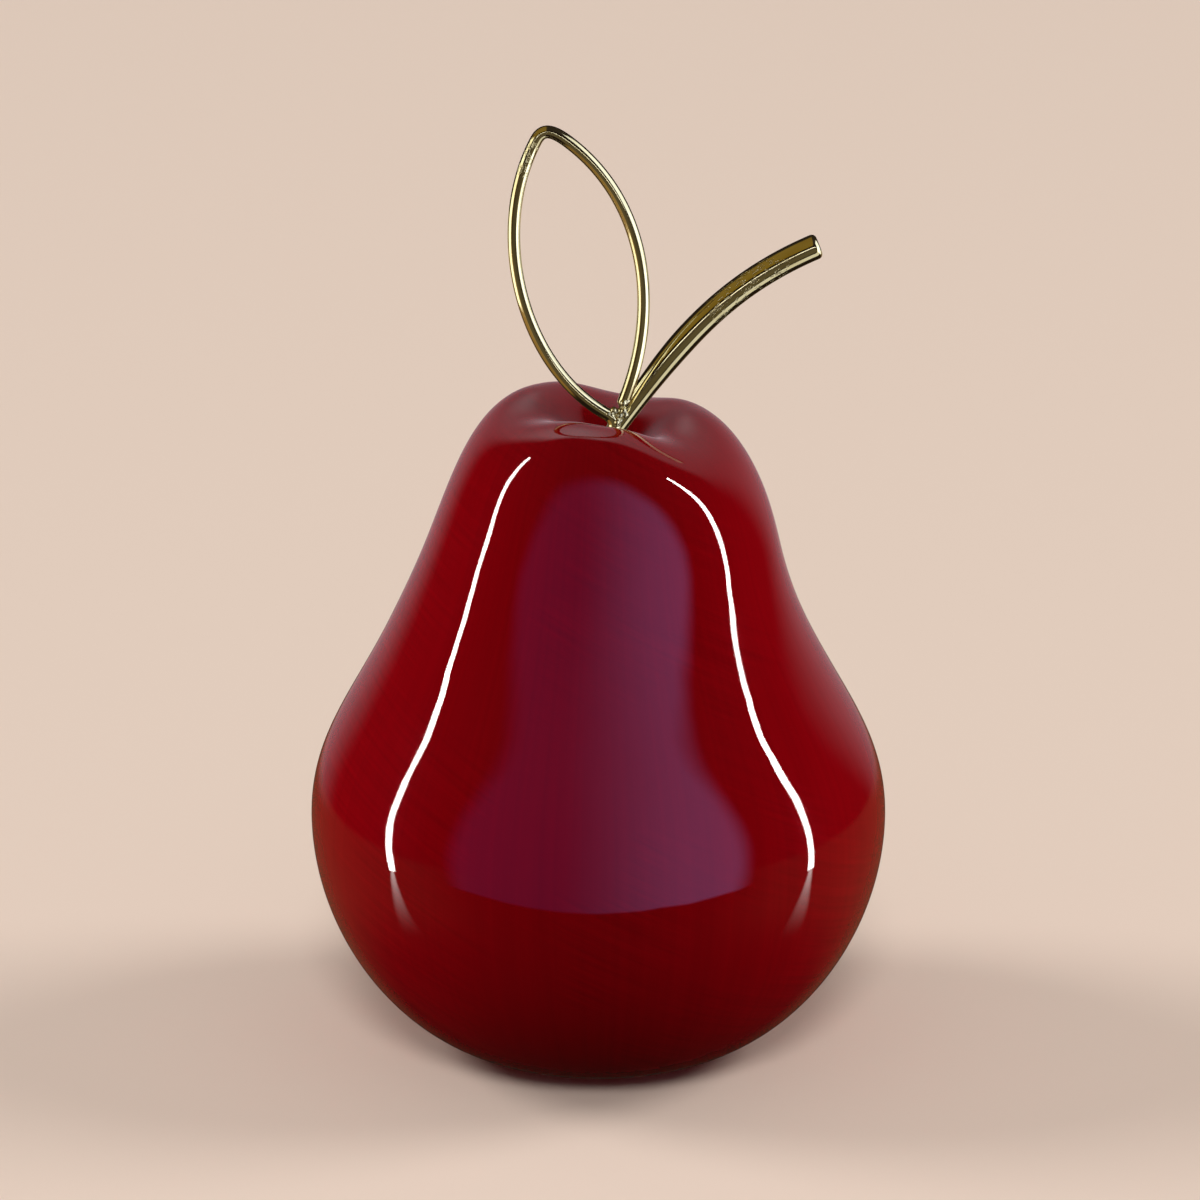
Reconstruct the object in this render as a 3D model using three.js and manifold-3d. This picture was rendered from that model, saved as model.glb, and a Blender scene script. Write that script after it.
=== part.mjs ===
// A glossy lacquered pear ornament with a bent brass stem and a leaf drawn in brass wire.
// Millimetres, +Z up. The origin is the centre of the foot, and the stem bends towards +X.
import * as THREE from "three";
import { mergeVertices } from "three/addons/utils/BufferGeometryUtils.js";
import Module from "manifold-3d";

const degrees = THREE.MathUtils.degToRad;
const point = (x, y) => new THREE.Vector2(x, y);

// Body outline: radius and height of the places that it passes through
const FOOT_RADIUS = 21;
const BELLY_RADIUS = 63;
const BELLY_HEIGHT = 52.8;
const WAIST_RADIUS = 38.2;
const WAIST_HEIGHT = 113.3;
const WAIST_SLOPE = degrees(17.9);
const CREST_RADIUS = 17.4;
const CREST_HEIGHT = 142.8;
const HOLLOW_HEIGHT = 131.4;

// Body outline: how far each curve runs straight on before it bends
const FOOT_REACH = 21;
const BELLY_REACH_DOWN = 27.9;
const BELLY_REACH_UP = 21.6;
const WAIST_REACH_DOWN = 31.8;
const WAIST_REACH_UP = 12.2;
const CREST_REACH_OUT = 11.2;
const CREST_REACH_IN = 8.4;
const HOLLOW_REACH = 7;

// Crown: it leans to +X, slopes down to the front right, and grooves part it into three lobes
const LEAN = 2.9;
const LEAN_START_HEIGHT = 95;
const SLOPE = degrees(8.2);
const SLOPE_BEARING = degrees(-44);
const GROOVES = 3;
const GROOVE_DEPTH = 2.8;
const GROOVE_BEARING = degrees(-40.5);
const GROOVE_SHARPNESS = 1.5;
const GROOVE_OUTER_RADIUS = 34;

// Stem: a brass rod, thinner at its slanting root, with a rounded free end
const STEM_PLANE = 2;
const STEM_BEND_START = new THREE.Vector3(1.3, STEM_PLANE, 134);
const STEM_ROOT_LENGTH = 15;
const STEM_ROOT_RISE = degrees(54.2);
const STEM_ROOT_REACH = 22.3;
const STEM_TIP = new THREE.Vector3(46.7, STEM_PLANE, 176.8);
const STEM_TIP_RISE = degrees(22.6);
const STEM_TIP_REACH = 24.9;
const STEM_ROOT_RADIUS = 1.9;
const STEM_RADIUS = 2.72;
const STEM_SWELL_LENGTH = 30;
const STEM_END_ROUNDING = 1.1;

// Leaf: one brass wire, from its tail in the body up round the leaf and back to the joint
const LEAF_PLANE = -2;
const WIRE_RADIUS = 1.35;
const WIRE_END_ROUNDING = 0.9;
const TAIL_X = 3.4;
const TAIL_FOOT_HEIGHT = 119;
const TAIL_TOP_HEIGHT = 138.5;
const TAIL_BEND = [TAIL_X, 140.4];
const LEFT_ARM = [[1.8, 141.3], [-16.4, 151.5], [-23.2, 180.3], [-12.9, 199.2]];
const TIP_BEND = [[-11.7, 201.4], [-9.9, 201.4]];
const RIGHT_ARM = [[-6.8, 199.2], [10.2, 187], [13.6, 163.8], [5, 143]];
const BEAD_CENTRE = [3.8, 141.5];
const BEAD_RADIUS = 1.8;

// Sockets in the body that take the stem's root and the leaf's tail
const SOCKET_CLEARANCE = 0.3;
const SOCKET_REACH = 4;

// Fineness of the faceted surfaces
const BODY_SIDES = 64;
const BELLY_STEPS = 12;
const CROWN_STEPS = 10;
const ROD_SIDES = 12;
const STEM_STEPS = 32;
const WIRE_SIDES = 9;
const WIRE_STEPS = 110;
const ROUNDING_STEPS = 3;

const LACQUER = { color: 0x8c0a1a, roughness: 0.06, metalness: 0 };
const BRASS = { color: 0xb59b55, roughness: 0.2, metalness: 1 };

const wasm = await Module();
wasm.setup();

// A closed three.js geometry as a solid that can be joined and cut
function toSolid(geometry) {
  const plain = geometry.clone();
  plain.deleteAttribute("normal");
  plain.deleteAttribute("uv");
  const merged = mergeVertices(plain);
  return new wasm.Manifold(new wasm.Mesh({
    numProp: 3,
    vertProperties: new Float32Array(merged.getAttribute("position").array),
    triVerts: new Uint32Array(merged.getIndex().array),
  }));
}

// A joined or cut solid as a three.js geometry
function toGeometry(solid) {
  const { vertProperties, triVerts } = solid.getMesh();
  const geometry = new THREE.BufferGeometry();
  geometry.setAttribute("position", new THREE.BufferAttribute(vertProperties, 3));
  geometry.setIndex(new THREE.BufferAttribute(triVerts, 1));
  geometry.computeVertexNormals();
  return geometry;
}

function namedMesh(name, geometry, finish) {
  const mesh = new THREE.Mesh(geometry, new THREE.MeshStandardMaterial(finish));
  mesh.name = name;
  return mesh;
}

// Half outline of the body, from the centre of the foot over belly, waist and crest to the hollow
function bodyOutline() {
  const foot = point(FOOT_RADIUS, 0);
  const belly = point(BELLY_RADIUS, BELLY_HEIGHT);
  const waist = point(WAIST_RADIUS, WAIST_HEIGHT);
  const crest = point(CREST_RADIUS, CREST_HEIGHT);
  const hollow = point(0, HOLLOW_HEIGHT);
  const upTheWaist = point(-Math.sin(WAIST_SLOPE), Math.cos(WAIST_SLOPE));
  const past = (place, direction, reach) => place.clone().addScaledVector(direction, reach);
  const out = point(1, 0);
  const up = point(0, 1);
  const bulge = new THREE.CubicBezierCurve(
    foot, past(foot, out, FOOT_REACH), past(belly, up, -BELLY_REACH_DOWN), belly);
  const shoulder = new THREE.CubicBezierCurve(
    belly, past(belly, up, BELLY_REACH_UP), past(waist, upTheWaist, -WAIST_REACH_DOWN), waist);
  const neck = new THREE.CubicBezierCurve(
    waist, past(waist, upTheWaist, WAIST_REACH_UP), past(crest, out, CREST_REACH_OUT), crest);
  const dip = new THREE.CubicBezierCurve(
    crest, past(crest, out, -CREST_REACH_IN), past(hollow, out, HOLLOW_REACH), hollow);
  return [
    point(0, 0),
    ...bulge.getPoints(BELLY_STEPS),
    ...shoulder.getPoints(BELLY_STEPS).slice(1),
    ...neck.getPoints(CROWN_STEPS).slice(1),
    ...dip.getPoints(CROWN_STEPS).slice(1),
  ];
}

// Where the crown's lean, slope and grooves take a place on the turned body
function crowned(place) {
  const { smoothstep } = THREE.MathUtils;
  const radius = Math.hypot(place.x, place.y);
  const bearing = Math.atan2(place.y, place.x);
  const crown = smoothstep(place.z, WAIST_HEIGHT, CREST_HEIGHT);
  const lean = LEAN * smoothstep(place.z, LEAN_START_HEIGHT, CREST_HEIGHT);
  const fall = Math.tan(SLOPE) * radius * Math.cos(bearing - SLOPE_BEARING) * crown;
  const outOfHollow = smoothstep(radius, 0, CREST_RADIUS);
  const downTheSide = smoothstep(radius, CREST_RADIUS, GROOVE_OUTER_RADIUS);
  const wave = (1 + Math.cos(GROOVES * (bearing - GROOVE_BEARING))) / 2;
  const groove = GROOVE_DEPTH * wave ** GROOVE_SHARPNESS * outOfHollow * (1 - downTheSide) * crown;
  return new THREE.Vector3(place.x + lean, place.y, place.z - fall - groove);
}

function bodyGeometry() {
  const geometry = new THREE.LatheGeometry(bodyOutline(), BODY_SIDES).rotateX(Math.PI / 2);
  const places = geometry.getAttribute("position");
  for (let i = 0; i < places.count; i++) {
    const place = crowned(new THREE.Vector3().fromBufferAttribute(places, i));
    places.setXYZ(i, place.x, place.y, place.z);
  }
  return geometry;
}

// Outline of a turned rod along its length, with a flat root and a rounded end
function rodOutline(length, radiusAt, rounding, steps) {
  const straight = length - rounding;
  const outline = [point(0, 0)];
  for (let i = 0; i <= steps; i++) {
    const along = straight * i / steps;
    outline.push(point(radiusAt(along), along));
  }
  const flatRadius = radiusAt(straight) - rounding;
  const edge = new THREE.EllipseCurve(flatRadius, straight, rounding, rounding, 0, Math.PI / 2);
  outline.push(...edge.getPoints(ROUNDING_STEPS).slice(1));
  outline.push(point(0, length));
  return outline;
}

// A straight turned rod, bent in the XZ plane so that its axis follows a path
function bentRod(path, outline, sides) {
  const geometry = new THREE.LatheGeometry(outline, sides);
  const places = geometry.getAttribute("position");
  const length = path.getLength();
  for (let i = 0; i < places.count; i++) {
    const along = Math.min(places.getY(i) / length, 1);
    const centre = path.getPointAt(along);
    const ahead = path.getTangentAt(along);
    const aside = places.getX(i);
    places.setXYZ(i, centre.x - aside * ahead.z, centre.y + places.getZ(i), centre.z + aside * ahead.x);
  }
  return geometry;
}

// Direction in the XZ plane that rises from +X by an angle
function rising(angle) {
  return new THREE.Vector3(Math.cos(angle), 0, Math.sin(angle));
}

function stemGeometry() {
  const upTheRoot = rising(STEM_ROOT_RISE);
  const root = STEM_BEND_START.clone().addScaledVector(upTheRoot, -STEM_ROOT_LENGTH);
  const pastRoot = STEM_BEND_START.clone().addScaledVector(upTheRoot, STEM_ROOT_REACH);
  const beforeTip = STEM_TIP.clone().addScaledVector(rising(STEM_TIP_RISE), -STEM_TIP_REACH);
  const path = new THREE.CurvePath();
  path.add(new THREE.LineCurve3(root, STEM_BEND_START));
  path.add(new THREE.CubicBezierCurve3(STEM_BEND_START, pastRoot, beforeTip, STEM_TIP));
  const radiusAt = (along) => {
    const swellEnd = STEM_ROOT_LENGTH + STEM_SWELL_LENGTH;
    const swell = THREE.MathUtils.smoothstep(along, STEM_ROOT_LENGTH, swellEnd);
    return THREE.MathUtils.lerp(STEM_ROOT_RADIUS, STEM_RADIUS, swell);
  };
  return bentRod(path, rodOutline(path.getLength(), radiusAt, STEM_END_ROUNDING, STEM_STEPS), ROD_SIDES);
}

// The wire is lapped back to its own joint, and a bead of solder closes the leaf there
function leafGeometry() {
  const place = ([x, z]) => new THREE.Vector3(x, LEAF_PLANE, z);
  const tailFoot = place([TAIL_X, TAIL_FOOT_HEIGHT]);
  const tailTop = place([TAIL_X, TAIL_TOP_HEIGHT]);
  const left = LEFT_ARM.map(place);
  const tip = TIP_BEND.map(place);
  const right = RIGHT_ARM.map(place);
  const path = new THREE.CurvePath();
  path.add(new THREE.LineCurve3(tailFoot, tailTop));
  path.add(new THREE.QuadraticBezierCurve3(tailTop, place(TAIL_BEND), left[0]));
  path.add(new THREE.CubicBezierCurve3(...left));
  path.add(new THREE.CubicBezierCurve3(left[3], tip[0], tip[1], right[0]));
  path.add(new THREE.CubicBezierCurve3(...right));
  const outline = rodOutline(path.getLength(), () => WIRE_RADIUS, WIRE_END_ROUNDING, WIRE_STEPS);
  const wire = bentRod(path, outline, WIRE_SIDES);
  const bead = new THREE.SphereGeometry(BEAD_RADIUS, ROD_SIDES, WIRE_SIDES);
  bead.translate(...place(BEAD_CENTRE));
  return toGeometry(toSolid(wire).add(toSolid(bead)));
}

// A round blind hole, drilled down from above the hollow along a direction
function socket(mouth, upward, depth, radius) {
  const length = SOCKET_REACH + depth + SOCKET_CLEARANCE;
  const bore = radius + SOCKET_CLEARANCE;
  const geometry = new THREE.CylinderGeometry(bore, bore, length, ROD_SIDES);
  geometry.translate(0, SOCKET_REACH - length / 2, 0);
  geometry.applyQuaternion(new THREE.Quaternion().setFromUnitVectors(THREE.Object3D.DEFAULT_UP, upward));
  geometry.translate(...mouth);
  return toSolid(geometry);
}

const stemSocket = socket(STEM_BEND_START, rising(STEM_ROOT_RISE), STEM_ROOT_LENGTH, STEM_ROOT_RADIUS);
const tailMouth = new THREE.Vector3(TAIL_X, LEAF_PLANE, STEM_BEND_START.z);
const tailDepth = STEM_BEND_START.z - TAIL_FOOT_HEIGHT;
const tailSocket = socket(tailMouth, new THREE.Vector3(0, 0, 1), tailDepth, WIRE_RADIUS);
const body = toSolid(bodyGeometry()).subtract(stemSocket).subtract(tailSocket);

const ornament = new THREE.Group();
ornament.add(namedMesh("pear_body", toGeometry(body), LACQUER));
ornament.add(namedMesh("stem", stemGeometry(), BRASS));
ornament.add(namedMesh("leaf_wire", leafGeometry(), BRASS));

export default ornament;
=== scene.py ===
from math import cos, pi, radians, sin

import bpy
from mathutils import Euler, Matrix, Vector


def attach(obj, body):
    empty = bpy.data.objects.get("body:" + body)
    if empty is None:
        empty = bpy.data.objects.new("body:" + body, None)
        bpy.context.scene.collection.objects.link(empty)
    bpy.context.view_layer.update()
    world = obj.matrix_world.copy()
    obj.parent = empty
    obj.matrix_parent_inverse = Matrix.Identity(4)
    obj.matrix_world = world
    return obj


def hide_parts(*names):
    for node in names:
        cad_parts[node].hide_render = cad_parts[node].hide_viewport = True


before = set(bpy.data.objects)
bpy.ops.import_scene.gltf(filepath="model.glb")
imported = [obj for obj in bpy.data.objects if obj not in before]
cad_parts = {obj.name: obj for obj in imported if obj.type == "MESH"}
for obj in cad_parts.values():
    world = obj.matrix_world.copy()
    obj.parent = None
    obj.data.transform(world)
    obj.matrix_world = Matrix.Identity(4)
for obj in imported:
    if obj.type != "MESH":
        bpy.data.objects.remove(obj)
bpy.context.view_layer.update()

# Pear body
# One cast piece, sanded smooth, sprayed with deep red lacquer and polished to a mirror.
# It stands on a small flat at its foot, and its crown is parted by grooves round a hollow.

MM = 0.001


class Signal:
    """An output socket of a node tree. Sums and products of signals add Math nodes to that tree."""

    def __init__(self, tree, socket=None):
        self.tree = tree
        self.socket = socket

    def node(self, kind, settings=None, sockets=None, output=0):
        """Adds a node of a kind, with its settings first and then the values or links of its sockets."""
        made = self.tree.nodes.new(kind)
        for name, setting in (settings or {}).items():
            setattr(made, name, setting)
        for key, value in (sockets or {}).items():
            for item in value if isinstance(value, list) else [value]:
                if isinstance(item, Signal):
                    self.tree.links.new(item.socket, made.inputs[key])
                else:
                    made.inputs[key].default_value = item
        return Signal(self.tree, made.outputs[output] if made.outputs else None)

    def out(self, name):
        """Another output of the same node."""
        return Signal(self.tree, self.socket.node.outputs[name])

    def math(self, operation, *operands):
        """A Math node's result."""
        return self.node("ShaderNodeMath", {"operation": operation}, dict(enumerate(operands)))

    def __add__(self, other):
        return self.math("ADD", self, other)

    def __radd__(self, other):
        return self.math("ADD", other, self)

    def __sub__(self, other):
        return self.math("SUBTRACT", self, other)

    def __rsub__(self, other):
        return self.math("SUBTRACT", other, self)

    def __mul__(self, other):
        return self.math("MULTIPLY", self, other)

    def __rmul__(self, other):
        return self.math("MULTIPLY", other, self)

    def __truediv__(self, other):
        return self.math("DIVIDE", self, other)

    def __pow__(self, other):
        return self.math("POWER", self, other)

    def cosine(self):
        return self.math("COSINE", self)

    def sine(self):
        return self.math("SINE", self)

    def step(self, low, high):
        """Rises smoothly from 0 to 1 between two levels."""
        return self.node(
            "ShaderNodeMapRange", {"interpolation_type": "SMOOTHSTEP"},
            {"Value": self, "From Min": low, "From Max": high})


CURVE_STEPS = 256
CREASE = radians(40)


def drawn_curve(name, plane, start, *bends):
    """A curve in a plane of constant Y: a start and (handle, handle, place) bends, as (X, Z) in mm."""
    def point(place):
        return Vector((place[0], plane, place[1])) * MM

    data = bpy.data.curves.new(name, "CURVE")
    data.dimensions = "3D"
    data.resolution_u = CURVE_STEPS
    spline = data.splines.new("BEZIER")
    spline.bezier_points.add(len(bends))
    knots = spline.bezier_points
    for knot in knots:
        knot.handle_left_type = "FREE"
        knot.handle_right_type = "FREE"
    knots[0].co = point(start)
    knots[0].handle_left = knots[0].co
    for knot, following, (leaving, arriving, place) in zip(knots, knots[1:], bends):
        knot.handle_right = point(leaving)
        following.handle_left = point(arriving)
        following.co = point(place)
    knots[-1].handle_right = knots[-1].co
    piece = bpy.data.objects.new(name, data)
    bpy.context.scene.collection.objects.link(piece)
    return piece


def shape_tree(name, sizes, counts):
    """A Geometry Nodes tree with a curve coming in and a named input for each size and count."""
    tree = bpy.data.node_groups.new(name, "GeometryNodeTree")
    tree.interface.new_socket("Curve", in_out="INPUT", socket_type="NodeSocketGeometry")
    for size in sizes:
        tree.interface.new_socket(size, in_out="INPUT", socket_type="NodeSocketFloat")
    for count in counts:
        tree.interface.new_socket(count, in_out="INPUT", socket_type="NodeSocketInt")
    tree.interface.new_socket("Mesh", in_out="OUTPUT", socket_type="NodeSocketGeometry")
    group_input = tree.nodes.new("NodeGroupInput")
    return {socket.name: Signal(tree, socket) for socket in group_input.outputs if socket.name}


def close_shape(mesh, material):
    """Ends a tree: one realised, smooth mesh with its material."""
    angle = mesh.node("GeometryNodeInputMeshEdgeAngle")
    creased = angle.math("GREATER_THAN", angle, CREASE)
    smooth = mesh.node("GeometryNodeSetShadeSmooth", {"domain": "FACE"}, {"Geometry": mesh})
    smooth = mesh.node(
        "GeometryNodeSetShadeSmooth", {"domain": "EDGE"},
        {"Geometry": smooth, "Selection": creased, "Shade Smooth": False})
    realised = mesh.node("GeometryNodeRealizeInstances", sockets={"Geometry": smooth})
    finished = mesh.node("GeometryNodeSetMaterial", sockets={"Geometry": realised, "Material": material})
    mesh.node("NodeGroupOutput", sockets={"Mesh": finished})


def grown_piece(name, curve, tree, values):
    """Runs a tree on a curve with its inputs set, and keeps the result as a plain mesh."""
    modifier = curve.modifiers.new("shape", "NODES")
    modifier.node_group = tree
    for socket in tree.interface.items_tree:
        if socket.in_out == "INPUT" and socket.name in values:
            modifier[socket.identifier] = values[socket.name]
    evaluated = curve.evaluated_get(bpy.context.evaluated_depsgraph_get())
    mesh = bpy.data.meshes.new_from_object(evaluated)
    mesh.name = name
    piece = bpy.data.objects.new(name, mesh)
    bpy.context.scene.collection.objects.link(piece)
    drawing = curve.data
    bpy.data.objects.remove(curve)
    bpy.data.curves.remove(drawing)
    return piece


def new_material(name):
    """A material with a bare Principled shader, and a signal to build its nodes from."""
    material = bpy.data.materials.new(name)
    material.use_nodes = True
    shader = material.node_tree.nodes["Principled BSDF"]
    return material, shader, Signal(material.node_tree)


def finish_material(start, shader, colour, roughness, height):
    """Links a finish to its shader: its colour, its roughness and its relief, a height in metres."""
    bump = start.node("ShaderNodeBump", sockets={"Strength": 1.0, "Distance": 1.0, "Height": height})
    for name, signal in {"Base Color": colour, "Roughness": roughness, "Normal": bump}.items():
        start.tree.links.new(signal.socket, shader.inputs[name])


def mixed(share, first, second):
    """One colour passing into another, by the colour sockets of a Mix node: 6, 7 and output 2."""
    return share.node("ShaderNodeMix", {"data_type": "RGBA"}, {0: share, 6: first, 7: second}, output=2)


def noise(place, stretch, detail=2.0):
    """Noise over places stretched by a vector of lumps per metre."""
    spread = place.node("ShaderNodeVectorMath", {"operation": "MULTIPLY"}, {0: place, 1: stretch})
    return spread.node("ShaderNodeTexNoise", sockets={"Vector": spread, "Scale": 1.0, "Detail": detail})


LACQUER_IOR = 1.45
THIN_LACQUER = (0.41, 0.0, 0.005, 1)
THICK_LACQUER = (0.29, 0.0, 0.004, 1)
DUST = (0.9, 0.62, 0.62, 1)
RUBBING_SLANT = radians(-28)
RUBBING_MARKS = (40, 40, 1100)
RUBBED_PATCHES = (35, 35, 35)
RUNS = (45, 45, 9)
SLOW_WAVE = (100, 100, 100)
RUBBED_LEVELS = (0.42, 0.62)
MARK_CONTRAST = 1.8
RUN_CONTRAST = 0.8
LACQUER_ROUGHNESS = 0.012
RUBBED_ROUGHNESS = 0.05
NIBS_PER_METRE = 70.0
NIB_CHOICE = (0.80, 0.801)
NIB_EDGE = (0.0, 0.03)
DUST_EDGE = (0.012, 0.02)
DUST_COVER = 0.7
WAVE_HEIGHT = 0.06 * MM
MARK_HEIGHT = 0.0006 * MM
NIB_HEIGHT = 0.08 * MM


def red_lacquer():
    """Deep red with a mirror gloss: a slow wave, slanting rubbing marks, runs and dust nibs."""
    material, shader, start = new_material("red_lacquer")
    shader.inputs["IOR"].default_value = LACQUER_IOR
    place = start.node("ShaderNodeTexCoord", output="Object")
    flat = place.node("ShaderNodeVectorMath", {"operation": "MULTIPLY"}, {0: place, 1: (1, 1, 0)})
    bearing = place.node("ShaderNodeVectorMath", {"operation": "NORMALIZE"}, {0: flat})
    upright = place.node("ShaderNodeVectorMath", {"operation": "MULTIPLY"}, {0: place, 1: (0, 0, 1)})
    round_place = place.node("ShaderNodeVectorMath", {"operation": "ADD"}, {0: bearing, 1: upright})
    slanted = place.node(
        "ShaderNodeVectorRotate", {"rotation_type": "Y_AXIS"}, {"Vector": place, "Angle": RUBBING_SLANT})
    rubbing = noise(slanted, RUBBING_MARKS, 3.0)
    patches = noise(place, RUBBED_PATCHES).step(*RUBBED_LEVELS)
    runs = noise(round_place, RUNS)
    tone = (rubbing - 0.5) * patches * MARK_CONTRAST + (runs - 0.5) * RUN_CONTRAST + 0.5
    colour = mixed(tone, THICK_LACQUER, THIN_LACQUER)
    cells = place.node(
        "ShaderNodeTexVoronoi", {"feature": "F1"},
        {"Vector": place, "Scale": NIBS_PER_METRE, "Randomness": 1.0})
    chosen = start.node("ShaderNodeSeparateColor", sockets={0: cells.out("Color")}).step(*NIB_CHOICE)
    nibs = (1 - cells.step(*NIB_EDGE)) * chosen
    dust = (1 - cells.step(*DUST_EDGE)) * chosen
    colour = mixed(dust * DUST_COVER, colour, DUST)
    wave = noise(place, SLOW_WAVE, 1.0)
    height = wave * WAVE_HEIGHT + rubbing * patches * MARK_HEIGHT + nibs * NIB_HEIGHT
    roughness = LACQUER_ROUGHNESS + RUBBED_ROUGHNESS * rubbing * patches
    finish_material(start, shader, colour, roughness, height)
    return material


FOOT = (21, 0)
BELLY = (63, 52.8)
WAIST = (38.2, 113.3)
CREST = (17.4, 142.8)
HOLLOW = (0, 131.4)
WAIST_SLOPE = radians(17.9)
WAIST_LINE = (-sin(WAIST_SLOPE), cos(WAIST_SLOPE))
FOOT_REACH = 21
BELLY_REACH_DOWN = 27.9
BELLY_REACH_UP = 21.6
WAIST_REACH_DOWN = 31.8
WAIST_REACH_UP = 12.2
CREST_REACH_OUT = 11.2
CREST_REACH_IN = 8.4
HOLLOW_REACH = 7
CROWN = {
    "Waist Height": WAIST[1] * MM,
    "Crest Height": CREST[1] * MM,
    "Crest Radius": CREST[0] * MM,
    "Lean": 2.9 * MM,
    "Lean Start": 95 * MM,
    "Slope": radians(8.2),
    "Slope Bearing": radians(-44),
    "Groove Depth": 2.8 * MM,
    "Groove Bearing": radians(-40.5),
    "Groove Sharpness": 1.5,
    "Groove Outer Radius": 34 * MM,
}
SOCKETS = {
    "Stem Socket Radius": 2.2 * MM,
    "Tail Socket Radius": 1.65 * MM,
    "Socket Depth": 15.3 * MM,
    "Socket Reach": 4 * MM,
}
DRILL_SIDES = 48
BODY_COUNTS = {"Sides": 256, "Rows": 240, "Grooves": 3}
SEAM_GAP = 0.001 * MM
STEM_PLANE = 2
STEM_MOUTH = (1.3, 134)
STEM_ROOT_RISE = radians(54.2)
LEAF_PLANE = -2
TAIL_MOUTH = (3.4, 134)


def past(place, direction, reach):
    """A curve's handle: a place moved along a direction."""
    return (place[0] + direction[0] * reach, place[1] + direction[1] * reach)


def turned_grid(inputs):
    """A grid to wrap round an axis: its mesh, the turn about the axis and the share of the way along."""
    sides = inputs["Sides"]
    grid = sides.node(
        "GeometryNodeMeshGrid",
        sockets={"Size X": 1.0, "Size Y": 1.0, "Vertices X": sides + 1, "Vertices Y": inputs["Rows"] + 1})
    place = grid.node("ShaderNodeSeparateXYZ", sockets={0: grid.node("GeometryNodeInputPosition")})
    return grid, (place.out("X") + 0.5) * (2 * pi), place.out("Y") + 0.5


def placed(mesh, x, y, z):
    """The mesh with its points at a place worked out for each, and its seam and poles closed."""
    place = mesh.node("ShaderNodeCombineXYZ", sockets={"X": x, "Y": y, "Z": z})
    moved = mesh.node("GeometryNodeSetPosition", sockets={"Geometry": mesh, "Position": place})
    return mesh.node("GeometryNodeMergeByDistance", sockets={"Geometry": moved, "Distance": SEAM_GAP})


def socket_hole(inputs, radius, plane, mouth, rise):
    """A round blind hole, drilled from above its mouth along a line that rises from +X."""
    reach = inputs["Socket Reach"]
    length = reach + inputs["Socket Depth"]
    drill = length.node(
        "GeometryNodeMeshCylinder",
        sockets={"Vertices": DRILL_SIDES, "Radius": inputs[radius], "Depth": length})
    lift = length.node("ShaderNodeCombineXYZ", sockets={"Z": reach - length / 2})
    drill = length.node("GeometryNodeTransform", sockets={"Geometry": drill, "Translation": lift})
    place = (mouth[0] * MM, plane * MM, mouth[1] * MM)
    return length.node(
        "GeometryNodeTransform",
        sockets={"Geometry": drill, "Translation": place, "Rotation": (0, pi / 2 - rise, 0)})


def body_tree(material):
    """The outline turned about Z, with the crown leaning, sloping and parted by its grooves."""
    inputs = shape_tree("turned_pear", {**CROWN, **SOCKETS}, BODY_COUNTS)
    grid, turn, share = turned_grid(inputs)
    sample = grid.node(
        "GeometryNodeSampleCurve", {"mode": "FACTOR", "use_all_curves": True},
        {"Curves": inputs["Curve"], "Factor": share}, output="Position")
    outline = grid.node("ShaderNodeSeparateXYZ", sockets={0: sample})
    radius = outline.out("X")
    height = outline.out("Z")
    crest_height = inputs["Crest Height"]
    crest_radius = inputs["Crest Radius"]
    crown = height.step(inputs["Waist Height"], crest_height)
    lean = inputs["Lean"] * height.step(inputs["Lean Start"], crest_height)
    slope = inputs["Slope"]
    fall = slope.math("TANGENT", slope) * radius * (turn - inputs["Slope Bearing"]).cosine() * crown
    wave = (1 + (inputs["Grooves"] * (turn - inputs["Groove Bearing"])).cosine()) / 2
    out_of_hollow = radius.step(0.0, crest_radius)
    down_the_side = radius.step(crest_radius, inputs["Groove Outer Radius"])
    groove = inputs["Groove Depth"] * wave ** inputs["Groove Sharpness"]
    groove = groove * out_of_hollow * (1 - down_the_side) * crown
    body = placed(grid, radius * turn.cosine() + lean, radius * turn.sine(), height - fall - groove)
    holes = [
        socket_hole(inputs, "Stem Socket Radius", STEM_PLANE, STEM_MOUTH, STEM_ROOT_RISE),
        socket_hole(inputs, "Tail Socket Radius", LEAF_PLANE, TAIL_MOUTH, pi / 2),
    ]
    drilled = body.node(
        "GeometryNodeMeshBoolean", {"operation": "DIFFERENCE", "solver": "MANIFOLD"},
        {"Mesh 1": body, "Mesh 2": holes})
    close_shape(drilled, material)
    return drilled.tree


body_outline = drawn_curve(
    "body_outline", 0, (0, 0),
    ((0, 0), FOOT, FOOT),
    (past(FOOT, (1, 0), FOOT_REACH), past(BELLY, (0, 1), -BELLY_REACH_DOWN), BELLY),
    (past(BELLY, (0, 1), BELLY_REACH_UP), past(WAIST, WAIST_LINE, -WAIST_REACH_DOWN), WAIST),
    (past(WAIST, WAIST_LINE, WAIST_REACH_UP), past(CREST, (1, 0), CREST_REACH_OUT), CREST),
    (past(CREST, (1, 0), -CREST_REACH_IN), past(HOLLOW, (1, 0), HOLLOW_REACH), HOLLOW))
pear_body = grown_piece(
    "pear_body_lacquered", body_outline, body_tree(red_lacquer()), {**CROWN, **SOCKETS, **BODY_COUNTS})
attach(pear_body, "root")
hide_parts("pear_body")

# Stem
# A straight brass rod, drawn thinner towards its root, then bent and polished.
# Its root is glued into a slanting hole in the hollow, and its free end is cut and rounded over.

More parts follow.
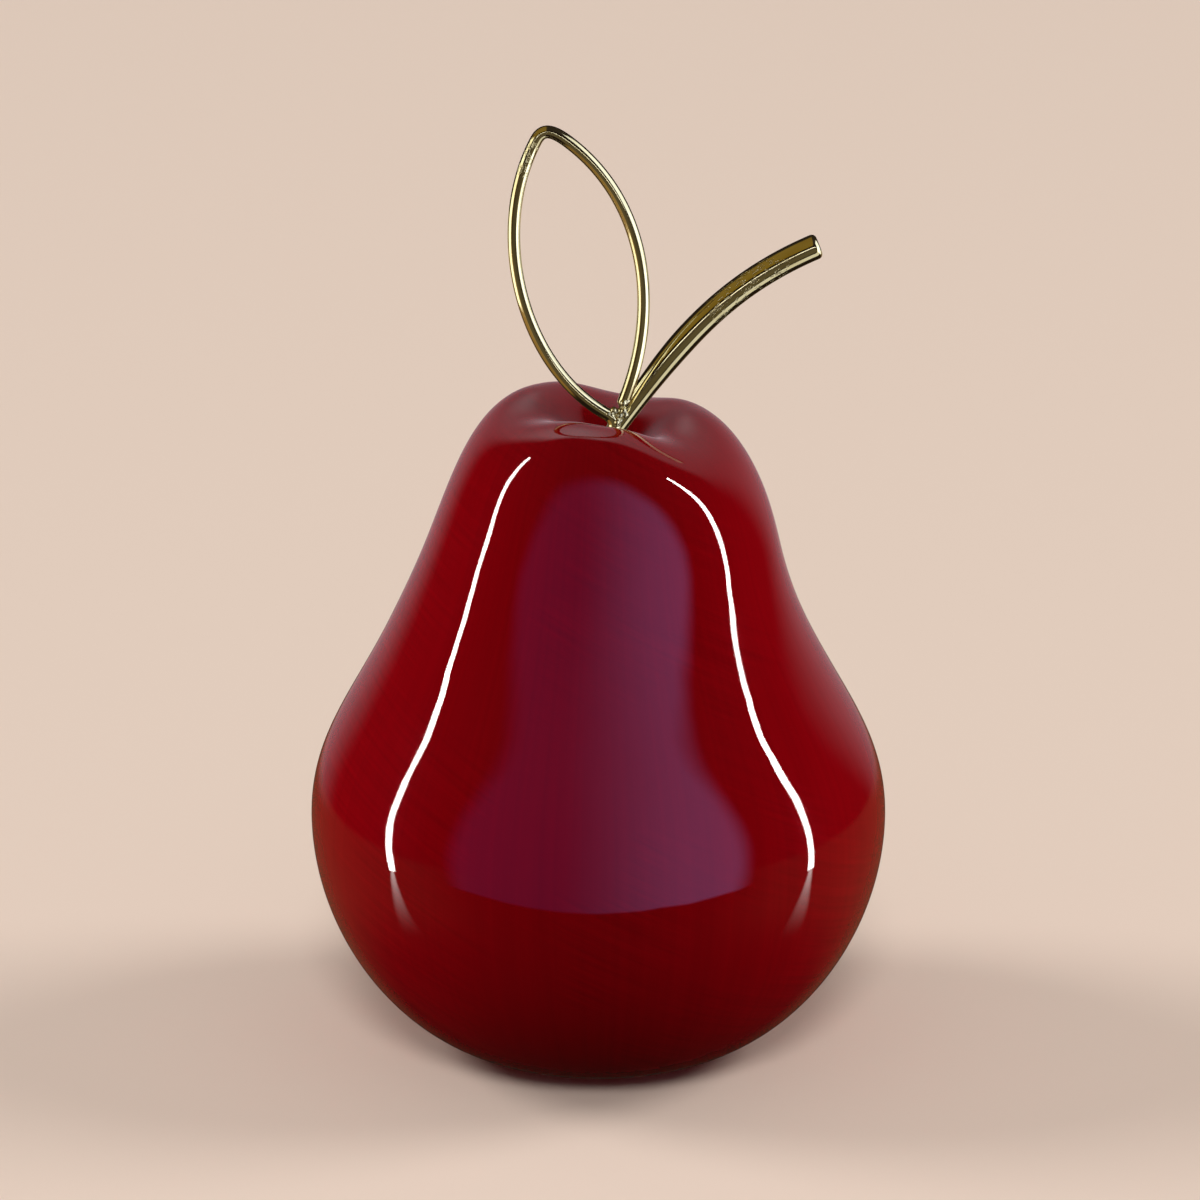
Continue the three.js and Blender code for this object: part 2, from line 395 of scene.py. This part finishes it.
STEM_TIP = (46.7, 176.8)
STEM_ROOT_LINE = (cos(STEM_ROOT_RISE), sin(STEM_ROOT_RISE))
STEM_TIP_RISE = radians(22.6)
STEM_TIP_LINE = (cos(STEM_TIP_RISE), sin(STEM_TIP_RISE))
STEM_ROOT_LENGTH = 15
STEM_ROOT_REACH = 22.3
STEM_TIP_REACH = 24.9
STEM_SIZES = {
    "Root Radius": 1.9 * MM,
    "Radius": 2.72 * MM,
    "Swell Start": 15 * MM,
    "Swell End": 45 * MM,
    "End Rounding": 1.1 * MM,
}
STEM_COUNTS = {"Sides": 48, "Rows": 240}
ROUNDING_SHARE = 0.03
END_ROW_SHARE = 1e-4
STEM_SCUFFS = (50 * MM, 72 * MM)
SCUFF_FADE = 4 * MM
SCUFF_FRONT = 1.5 * MM
SCUFF_DEPTH = 0.06 * MM
LINE_HEIGHT = 0.0008 * MM
BRIGHT_BRASS = (0.82, 0.73, 0.45, 1)
DULL_BRASS = (0.66, 0.53, 0.25, 1)
DRAWN_LINES = (8000, 8000, 90)
DULL_PATCHES = (260, 260, 110)
DULL_LEVELS = (0.45, 0.7)
DULL_COVER = 0.5
SCUFFS = (2000, 2000, 600)
SCUFF_LEVELS = (0.57, 0.63)
BRASS_ROUGHNESS = 0.05
LINE_ROUGHNESS = 0.05
DULL_ROUGHNESS = 0.06
SCUFF_ROUGHNESS = 0.15


def polished_brass(name, scuff_start, scuff_end):
    """Pale polished brass with fine lines along the rod, dull patches, and scuffs on one stretch of it."""
    material, shader, start = new_material(name)
    shader.inputs["Metallic"].default_value = 1.0
    rod = start.node("ShaderNodeAttribute", {"attribute_name": "straight_rod"}, output="Vector")
    lines = noise(rod, DRAWN_LINES)
    dull = noise(rod, DULL_PATCHES).step(*DULL_LEVELS)
    way = rod.node("ShaderNodeSeparateXYZ", sockets={0: rod})
    along = way.out("Z")
    past_start = along.step(scuff_start, scuff_start + SCUFF_FADE)
    past_end = along.step(scuff_end - SCUFF_FADE, scuff_end)
    scuffed = past_start * (1 - past_end) * way.out("Y").step(0.0, SCUFF_FRONT)
    scuffs = noise(rod, SCUFFS).step(*SCUFF_LEVELS) * scuffed
    colour = mixed(dull * DULL_COVER, BRIGHT_BRASS, DULL_BRASS)
    roughness = BRASS_ROUGHNESS + LINE_ROUGHNESS * lines + DULL_ROUGHNESS * dull + SCUFF_ROUGHNESS * scuffs
    finish_material(start, shader, colour, roughness, lines * LINE_HEIGHT - scuffs * SCUFF_DEPTH)
    return material


def rod_tree(name, material):
    """A turned rod bent along the curve: it swells from its root and its free end is rounded over."""
    inputs = shape_tree(name, STEM_SIZES, STEM_COUNTS)
    grid, turn, share = turned_grid(inputs)
    rounding = inputs["End Rounding"]
    length = grid.node("GeometryNodeCurveLength", sockets={"Curve": inputs["Curve"]})
    up_the_rod = share.math("MINIMUM", share / (1 - ROUNDING_SHARE), 1.0)
    over_the_edge = share.math("MAXIMUM", (share - (1 - ROUNDING_SHARE)) * (pi / 2 / ROUNDING_SHARE), 0.0)
    along = up_the_rod * (length - rounding) + rounding * over_the_edge.sine()
    swell = along.step(inputs["Swell Start"], inputs["Swell End"])
    radius = inputs["Root Radius"] + (inputs["Radius"] - inputs["Root Radius"]) * swell
    radius = radius - rounding * (1 - over_the_edge.cosine())
    # The first and the last row of points close the ends.
    radius = radius * share.math("GREATER_THAN", share, END_ROW_SHARE)
    radius = radius * share.math("LESS_THAN", share, 1 - END_ROW_SHARE)
    sample = grid.node(
        "GeometryNodeSampleCurve", {"mode": "LENGTH", "use_all_curves": True},
        {"Curves": inputs["Curve"], "Length": along}, output="Position")
    centre = grid.node("ShaderNodeSeparateXYZ", sockets={0: sample})
    ahead = grid.node("ShaderNodeSeparateXYZ", sockets={0: sample.out("Tangent")})
    aside = radius * turn.cosine()
    forward = radius * turn.sine()
    straight = grid.node("ShaderNodeCombineXYZ", sockets={"X": aside, "Y": forward, "Z": along})
    kept = grid.node(
        "GeometryNodeStoreNamedAttribute", {"data_type": "FLOAT_VECTOR", "domain": "POINT"},
        {"Geometry": grid, "Name": "straight_rod", "Value": straight})
    rod = placed(
        kept,
        centre.out("X") - aside * ahead.out("Z"),
        centre.out("Y") - forward,
        centre.out("Z") + aside * ahead.out("X"))
    close_shape(rod, material)
    return rod.tree


stem_brass = polished_brass("stem_brass", *STEM_SCUFFS)
stem_root = past(STEM_MOUTH, STEM_ROOT_LINE, -STEM_ROOT_LENGTH)
stem_bend = past(STEM_MOUTH, STEM_ROOT_LINE, STEM_ROOT_REACH)
stem_path = drawn_curve(
    "stem_path", STEM_PLANE, stem_root,
    (stem_root, STEM_MOUTH, STEM_MOUTH),
    (stem_bend, past(STEM_TIP, STEM_TIP_LINE, -STEM_TIP_REACH), STEM_TIP))
stem = grown_piece(
    "stem_polished", stem_path, rod_tree("bent_stem", stem_brass), {**STEM_SIZES, **STEM_COUNTS})
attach(stem, "root")
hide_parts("stem")

# Leaf
# One brass wire, bent round the outline of a leaf and back to where it started.
# Its tail is glued into an upright hole beside the stem, and solder closes the joint.

TAIL_FOOT = (3.4, 119)
TAIL_TOP = (3.4, 138.5)
TAIL_BEND = ((3.4, 139.8), (2.9, 140.7))
LEFT_ARM = ((1.8, 141.3), (-16.4, 151.5), (-23.2, 180.3), (-12.9, 199.2))
TIP_BEND = ((-11.7, 201.4), (-9.9, 201.4))
RIGHT_ARM = ((-6.8, 199.2), (10.2, 187), (13.6, 163.8), (5, 143))
WIRE_SIZES = {
    "Root Radius": 1.35 * MM,
    "Radius": 1.35 * MM,
    "Swell Start": 0.0,
    "Swell End": 1.0,
    "End Rounding": 0.9 * MM,
}
WIRE_COUNTS = {"Sides": 32, "Rows": 420}
WIRE_SCUFFS = (78 * MM, 94 * MM)

leaf_path = drawn_curve(
    "leaf_path", LEAF_PLANE, TAIL_FOOT,
    (TAIL_FOOT, TAIL_TOP, TAIL_TOP),
    (*TAIL_BEND, LEFT_ARM[0]),
    LEFT_ARM[1:],
    (*TIP_BEND, RIGHT_ARM[0]),
    RIGHT_ARM[1:])
wire_brass = polished_brass("wire_brass", *WIRE_SCUFFS)
leaf = grown_piece(
    "leaf_outline", leaf_path, rod_tree("bent_leaf_wire", wire_brass), {**WIRE_SIZES, **WIRE_COUNTS})
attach(leaf, "root")
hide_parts("leaf_wire")

# Solder
# Soft solder run into the joint of the leaf and down between its tail and the stem.
# It set as a few small lumps, and it is greyer than the brass.

SEAM_PLANE = -2.5
SEAM_START = (2.5, 142.2)
SEAM_FOOT = (4.2, 139.2)
SEAM_END = (5.6, 144.8)
SEAM_BEND_DOWN = ((3.2, 142.0), (3.4, 141.0))
SEAM_BEND_UP = ((4.8, 140.4), (5.2, 142.4))
SEAM_SIZES = {"Lump Radius": 0.85 * MM, "Spread": 0.75 * MM, "Voxel": 0.11 * MM}
SEAM_COUNTS = {"Lumps": 34, "Seed": 4}
SMALLEST_LUMP = 0.6
LARGEST_LUMP = 1.1
BALL_SUBDIVISIONS = 4
SURFACE_THRESHOLD = 0.1
BRIGHT_SOLDER = (0.74, 0.66, 0.42, 1)
GREY_SOLDER = (0.40, 0.37, 0.27, 1)
SOLDER_SPOTS = (900, 900, 900)
SPOT_LEVELS = (0.4, 0.65)
SOLDER_ROUGHNESS = 0.16
SPOT_ROUGHNESS = 0.22
SOLDER_SKIN = (2500, 2500, 2500)
SKIN_HEIGHT = 0.04 * MM


def grey_solder():
    """Greyish soft solder with a wrinkled skin and dull spots."""
    material, shader, start = new_material("grey_solder")
    shader.inputs["Metallic"].default_value = 1.0
    place = start.node("ShaderNodeTexCoord", output="Object")
    spots = noise(place, SOLDER_SPOTS).step(*SPOT_LEVELS)
    skin = noise(place, SOLDER_SKIN, 3.0)
    colour = mixed(spots, BRIGHT_SOLDER, GREY_SOLDER)
    roughness = SOLDER_ROUGHNESS + SPOT_ROUGHNESS * spots
    finish_material(start, shader, colour, roughness, skin * SKIN_HEIGHT)
    return material


def solder_tree(material):
    """Lumps of uneven size strewn along the curve and run together."""
    inputs = shape_tree("solder_seam", SEAM_SIZES, SEAM_COUNTS)
    curve = inputs["Curve"]
    spread = inputs["Spread"]
    seed = inputs["Seed"]
    points = curve.node(
        "GeometryNodeCurveToPoints", {"mode": "COUNT"}, {"Curve": curve, "Count": inputs["Lumps"]})
    low = curve.node("ShaderNodeCombineXYZ", sockets={axis: spread * -1 for axis in range(3)})
    high = curve.node("ShaderNodeCombineXYZ", sockets={axis: spread for axis in range(3)})
    strewn = curve.node(
        "FunctionNodeRandomValue", {"data_type": "FLOAT_VECTOR"}, {0: low, 1: high, "Seed": seed})
    points = curve.node("GeometryNodeSetPosition", sockets={"Geometry": points, "Offset": strewn})
    size = curve.node(
        "FunctionNodeRandomValue", {"data_type": "FLOAT"},
        {2: SMALLEST_LUMP, 3: LARGEST_LUMP, "Seed": seed}, output=1)
    ball = curve.node(
        "GeometryNodeMeshIcoSphere",
        sockets={"Radius": inputs["Lump Radius"], "Subdivisions": BALL_SUBDIVISIONS})
    lumps = curve.node(
        "GeometryNodeInstanceOnPoints", sockets={"Points": points, "Instance": ball, "Scale": size})
    lumps = curve.node("GeometryNodeRealizeInstances", sockets={"Geometry": lumps})
    volume = curve.node(
        "GeometryNodeMeshToVolume", {"resolution_mode": "VOXEL_SIZE"},
        {"Mesh": lumps, "Voxel Size": inputs["Voxel"], "Interior Band Width": inputs["Lump Radius"]})
    solid = curve.node(
        "GeometryNodeVolumeToMesh", {"resolution_mode": "GRID"},
        {"Volume": volume, "Threshold": SURFACE_THRESHOLD})
    close_shape(solid, material)
    return solid.tree


seam_path = drawn_curve(
    "seam_path", SEAM_PLANE, SEAM_START, (*SEAM_BEND_DOWN, SEAM_FOOT), (*SEAM_BEND_UP, SEAM_END))
solder = grown_piece(
    "leaf_solder", seam_path, solder_tree(grey_solder()), {**SEAM_SIZES, **SEAM_COUNTS})
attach(solder, "root")

# Floor
# A plain pale sheet to stand the ornament on, which isn't part of the object.
# It is hidden from mirrored and bounced rays, so that its colour doesn't tint the ornament.

FLOOR_HALF_WIDTH = 12.0
FLOOR_COLOUR = (0.76, 0.61, 0.51, 1.0)
FLOOR_ROUGHNESS = 0.8


def pale_floor():
    """A matt, even finish."""
    material, shader, _ = new_material("pale_floor")
    shader.inputs["Base Color"].default_value = FLOOR_COLOUR
    shader.inputs["Roughness"].default_value = FLOOR_ROUGHNESS
    return material


floor_corners = [
    (x * FLOOR_HALF_WIDTH, y * FLOOR_HALF_WIDTH, 0) for x, y in ((-1, -1), (1, -1), (1, 1), (-1, 1))]
floor_mesh = bpy.data.meshes.new("floor")
floor_mesh.from_pydata(floor_corners, [], [(0, 1, 2, 3)])
floor_mesh.materials.append(pale_floor())
floor = bpy.data.objects.new("floor", floor_mesh)
floor.visible_glossy = False
floor.visible_diffuse = False
bpy.context.scene.collection.objects.link(floor)

# Light
# Tall strips at both sides and wide far panels give the lacquer its gloss, with soft fills for its red.
# Cards round the ornament are mirrored by the brass alone, and wide lights hang over ornament and floor.
# A pale backdrop closes the scene behind the floor.

LIT_MIDDLE = Vector((0, -0.03, 0.09))
WARM_WHITE = (1, 0.98, 0.95)
JUST_ABOVE_FLOOR = 0.002


def lit_group(name, *pieces):
    """The pieces that a light reaches."""
    group = bpy.data.collections.new(name)
    for piece in pieces:
        group.objects.link(piece)
    return group


def panel_light(name, receivers, foot, top, width, radiance, colour=WARM_WHITE):
    """A rectangular soft light from the middle of its foot to the middle of its top, facing the object."""
    foot = Vector(foot)
    rise = Vector(top) - foot
    data = bpy.data.lights.new(name, "AREA")
    data.shape = "RECTANGLE"
    data.size = width
    data.size_y = rise.length
    data.energy = radiance * pi * width * rise.length
    data.color = colour
    middle = foot + rise / 2
    upward = rise.normalized()
    back = middle - LIT_MIDDLE
    back = (back - back.dot(upward) * upward).normalized()
    light = bpy.data.objects.new(name, data)
    light.location = middle
    light.rotation_euler = Matrix((upward.cross(back), upward, back)).transposed().to_euler()
    light.visible_camera = False
    light.light_linking.receiver_collection = receivers
    bpy.context.scene.collection.objects.link(light)
    return light


# The body is hidden from mirrored rays, so the brass shows its cards and not the red under it.
pear_body.visible_glossy = False
ornament = lit_group("ornament", pear_body, stem, leaf, solder)
lacquered = lit_group("lacquered", pear_body)
brass_pieces = lit_group("brass_pieces", stem, leaf, solder)
stage = lit_group("stage", floor)

STRIP_WIDTH = 0.034
STRIP_RADIANCE = 38
SPILL_WIDTH = 0.3
SPILL_RADIANCE = 1.15
STRIP_ENDS = {
    "left": ((-0.60, -0.07, -0.11), (-0.60, -0.01, 0.82)),
    "right": ((0.60, -0.035, -0.11), (0.60, -0.14, 0.92)),
}
for name, (foot, top) in STRIP_ENDS.items():
    strip = panel_light("strip_" + name, lacquered, foot, top, STRIP_WIDTH, STRIP_RADIANCE)
    strip.visible_diffuse = False
    spill = panel_light("spill_" + name, lacquered, foot, top, SPILL_WIDTH, SPILL_RADIANCE)
    spill.visible_glossy = False

# Each card: the middles of its foot and its top, its width, its radiance and its colour
BRASS_CARDS = {
    "left": ((-0.5, -0.115, -0.06), (-0.5, -0.115, 0.42), 0.45, 1.5, (0.95, 1, 0.92)),
    "right": ((0.5, -0.13, -0.1), (0.5, -0.13, 0.85), 0.70, 1.55, (0.8, 0.87, 1)),
    "below": ((0.19, -0.21, JUST_ABOVE_FLOOR), (0.19, -0.03, JUST_ABOVE_FLOOR), 0.62, 0.75, (1, 1, 0.95)),
    "low": ((0, -1.2, JUST_ABOVE_FLOOR), (0, -0.21, JUST_ABOVE_FLOOR), 1.2, 0.09, (1, 0.86, 0.5)),
    "side": ((-0.4, -0.5, JUST_ABOVE_FLOOR), (-0.4, 0.1, JUST_ABOVE_FLOOR), 0.6, 0.24, (1, 0.62, 0.18)),
    "front": ((0, -1.2, JUST_ABOVE_FLOOR), (0, -1.2, 0.29), 1.2, 0.06, (1, 0.85, 0.5)),
    "line": ((0, -1.2, 0.30), (0, -1.2, 0.36), 1.2, 2.6, (1, 1, 1)),
    "above": ((-1.3, -0.2, 0.62), (-0.05, -0.2, 0.62), 1.0, 0.18, (1, 0.66, 0.07)),
    "back": ((0, 0.5, 0.0), (0, 0.5, 0.16), 1.6, 0.5, (1, 0.9, 0.7)),
}
for name, card in BRASS_CARDS.items():
    panel_light("card_" + name, brass_pieces, *card)

GLOW_WIDTH = 0.16
GLOW_RADIANCE = 7.0
GLOW_TAPER = 1.15
GLOW_FEET = {"left": (-0.60, -0.05, -0.42), "right": (0.60, -0.01, -0.42)}
for name, foot in GLOW_FEET.items():
    # A faint light below each strip, narrow and bright at its top, wide and fading lower down
    light = panel_light("glow_" + name, lacquered, foot, STRIP_ENDS[name][0], GLOW_WIDTH, GLOW_RADIANCE)
    light.visible_diffuse = False
    light.data.use_nodes = True
    glow = Signal(light.data.node_tree)
    place = glow.node("ShaderNodeNewGeometry", output="Parametric")
    place = glow.node("ShaderNodeSeparateXYZ", sockets={0: place})
    up = place.out("Y")
    across = (place.out("X") * 2 - 1) / (GLOW_TAPER - up)
    strength = up * up * up * (1 - (across * across).step(0.0, 1.0))
    glow.tree.links.new(strength.socket, glow.tree.nodes["Emission"].inputs["Strength"])

FILL_AWAY = 1.2
FILL_WIDTH = 1.0
FILL_RADIANCE = 1.36
BOUNCE_AWAY = 0.36
BOUNCE_WIDTH = 0.5
BOUNCE_RADIANCE = 0.7
FRONT_BOUNCE_WIDTH = 1.4
FRONT_BOUNCE_RADIANCE = 0.46
fills = []
for name, side in {"left": -1, "right": 1}.items():
    fills.append(panel_light(
        "fill_" + name, lacquered, (side * FILL_AWAY, 0.4, 0.05), (side * FILL_AWAY, 0.4, 0.8),
        FILL_WIDTH, FILL_RADIANCE))
    fills.append(panel_light(
        "bounce_" + name, lacquered, (side * BOUNCE_AWAY, -0.15, JUST_ABOVE_FLOOR),
        (side * BOUNCE_AWAY, 0.35, JUST_ABOVE_FLOOR), BOUNCE_WIDTH, BOUNCE_RADIANCE))
fills.append(panel_light(
    "bounce_front", lacquered, (0, -1.0, JUST_ABOVE_FLOOR), (0, -0.1, JUST_ABOVE_FLOOR),
    FRONT_BOUNCE_WIDTH, FRONT_BOUNCE_RADIANCE))
for fill in fills:
    fill.visible_glossy = False

FAR_HALF_WIDTH = 12
FAR_RADIANCE = 0.1
FRONT_DEPTH = -6
FRONT_FADE = (-0.05, -0.35)
FRONT_EDGE = (-0.005, 0.02)
FRONT_EDGE_DROP = 0.165
FRONT_EDGE_SLOPE = 0.252
FRONT_OVAL = 0.8
FRONT_OVAL_FADE = (0.0, 0.2)
COOL_FADE = (-0.3, 0.7)
COOL_DIM = (0.07, 0.09, 0.40, 1)
COOL_BRIGHT = (0.7, 0.66, 1.75, 1)
BACK_DEPTH = 1.5
BAND_FADE = (0.56, 0.90)
BAND_FOOT = (-0.2, -0.1)
BAND_RISE = 0.8
BAND_TOP = (0.6, 1.6)
BAND_TOP_SLOPE = 8
PALE_FADE = (0.45, 1.0)
RIGHT_DIMMING = 0.45
RIGHT_FADE = (-0.05, 0.25)
PALE_LOW = (0.38, 0.26, 0.29, 1)
PALE_HIGH = (1.70, 1.64, 1.70, 1)


def far_panel(name, depth):
    """A very wide light in front or behind, for the gloss alone, and the direction to each place on it."""
    light = panel_light(
        name, lacquered, (0, depth, -FAR_HALF_WIDTH), (0, depth, FAR_HALF_WIDTH),
        2 * FAR_HALF_WIDTH, FAR_RADIANCE, (1, 1, 1))
    light.visible_diffuse = False
    light.data.use_nodes = True
    glow = Signal(light.data.node_tree)
    place = glow.node("ShaderNodeNewGeometry", output="Position")
    toward = glow.node("ShaderNodeVectorMath", {"operation": "NORMALIZE"}, {0: place})
    toward = glow.node("ShaderNodeSeparateXYZ", sockets={0: toward})
    return toward.out("X"), toward.out("Y"), toward.out("Z")


def shine(share, colour):
    """Gives a far panel its colour, in the share of it that is lit."""
    lit = mixed(share, (0, 0, 0, 1), colour)
    lit = share.node("ShaderNodeVectorMath", {"operation": "SCALE"}, {0: lit, "Scale": 1 / FAR_RADIANCE})
    share.tree.links.new(lit.socket, share.tree.nodes["Emission"].inputs["Color"])


# In front: a cool oval panel with a sharp lower edge, dimmer to the left
right, behind, above = far_panel("front_panel", FRONT_DEPTH)
lower_edge = above + FRONT_EDGE_DROP - FRONT_EDGE_SLOPE * behind
panel = behind.step(*FRONT_FADE) * lower_edge.step(*FRONT_EDGE)
panel = panel * (1 - right * right / FRONT_OVAL - above * above / FRONT_OVAL).step(*FRONT_OVAL_FADE)
shine(panel, mixed(right.step(*COOL_FADE), COOL_DIM, COOL_BRIGHT))

# Behind: a pale band that brightens upwards, and less so to the right
right, behind, above = far_panel("back_panel", BACK_DEPTH)
left = (right * -1).step(0.0, 1.0)
band = (behind + BAND_RISE * above * (1 - left)).step(*BAND_FADE) * above.step(*BAND_FOOT)
band = band * (BAND_TOP_SLOPE * behind - above).step(*BAND_TOP)
upper = above.step(*PALE_FADE) * (1 - RIGHT_DIMMING * right.step(*RIGHT_FADE))
shine(band, mixed(upper * upper, PALE_LOW, PALE_HIGH))

# Each overhead light: what it reaches, its strength, its spread, and its tilts to the front and aside
OVERHEAD_LIGHTS = {
    "overhead": (ornament, 0.7, 110, 12, 0),
    "floor_light": (stage, 0.8, 90, 24, 0),
    "floor_front": (stage, 1.45, 16, 50, 0),
    "floor_left": (stage, 1.35, 24, -6, -54),
    "floor_right": (stage, 1.35, 24, -3, 54),
}
for name, (receivers, energy, spread, forward, sideways) in OVERHEAD_LIGHTS.items():
    overhead_data = bpy.data.lights.new(name, "SUN")
    overhead_data.energy = energy
    overhead_data.angle = radians(spread)
    overhead = bpy.data.objects.new(name, overhead_data)
    overhead.rotation_euler = (radians(forward), radians(sideways), 0)
    overhead.visible_glossy = False
    overhead.light_linking.receiver_collection = receivers
    bpy.context.scene.collection.objects.link(overhead)

DIM_LEVEL = (0.015, 0.010, 0.007, 1)
DIM_TOP = (0.03, 0.025, 0.02, 1)
DIM_RISE = (0.3, 0.8)
LOW_GLOW = (0.12, 0.07, 0.035, 1)
LOW_TOP = (0.13, 0.18)
LOW_FOOT = (0.4, 0.7)
LOW_FRONT = (-0.75, -0.2)
LOW_BACK = (0.5, 0.9)
LOW_MIDDLE = (0.0, 0.08)
BACKDROP = (0.75, 0.60, 0.50, 1)
world = bpy.data.worlds.new("studio")
bpy.context.scene.world = world
world.use_nodes = True
studio = Signal(world.node_tree)
direction = studio.node("ShaderNodeTexCoord", output="Generated")
direction = studio.node("ShaderNodeSeparateXYZ", sockets={0: direction})
right = direction.out("X")
behind = direction.out("Y")
above = direction.out("Z")
below = above * -1
# The low glow lies beside the ornament, and fades out in front, straight behind and far below.
low = below.step(*LOW_TOP) * (1 - below.step(*LOW_FOOT)) * behind.step(*LOW_FRONT)
low = low * (1 - behind.step(*LOW_BACK) * (1 - (right * right).step(*LOW_MIDDLE)))
surroundings = mixed(low, mixed(above.step(*DIM_RISE), DIM_LEVEL, DIM_TOP), LOW_GLOW)
seen = studio.node("ShaderNodeLightPath", output="Is Camera Ray")
surroundings = mixed(seen, surroundings, BACKDROP)
studio.tree.links.new(surroundings.socket, studio.tree.nodes["Background"].inputs["Color"])
bpy.context.scene.view_settings.view_transform = "Standard"

# Camera
# It looks along +Y and a little down, from the photograph's viewing angle.
# A long lens keeps the perspective slight.

AIM = Vector((0.36, 0, 100)) * MM
CAMERA_DISTANCE = 0.650
CAMERA_RISE = radians(14)
CAMERA_LENS = 89.94
SENSOR_WIDTH = 36
camera_data = bpy.data.cameras.new("camera")
camera_data.sensor_width = SENSOR_WIDTH
camera_data.lens = CAMERA_LENS
camera = bpy.data.objects.new("camera", camera_data)
camera.location = AIM + CAMERA_DISTANCE * Vector((0, -cos(CAMERA_RISE), sin(CAMERA_RISE)))
camera.rotation_euler = Euler((pi / 2 - CAMERA_RISE, 0, 0))
bpy.context.scene.collection.objects.link(camera)
bpy.context.scene.camera = camera
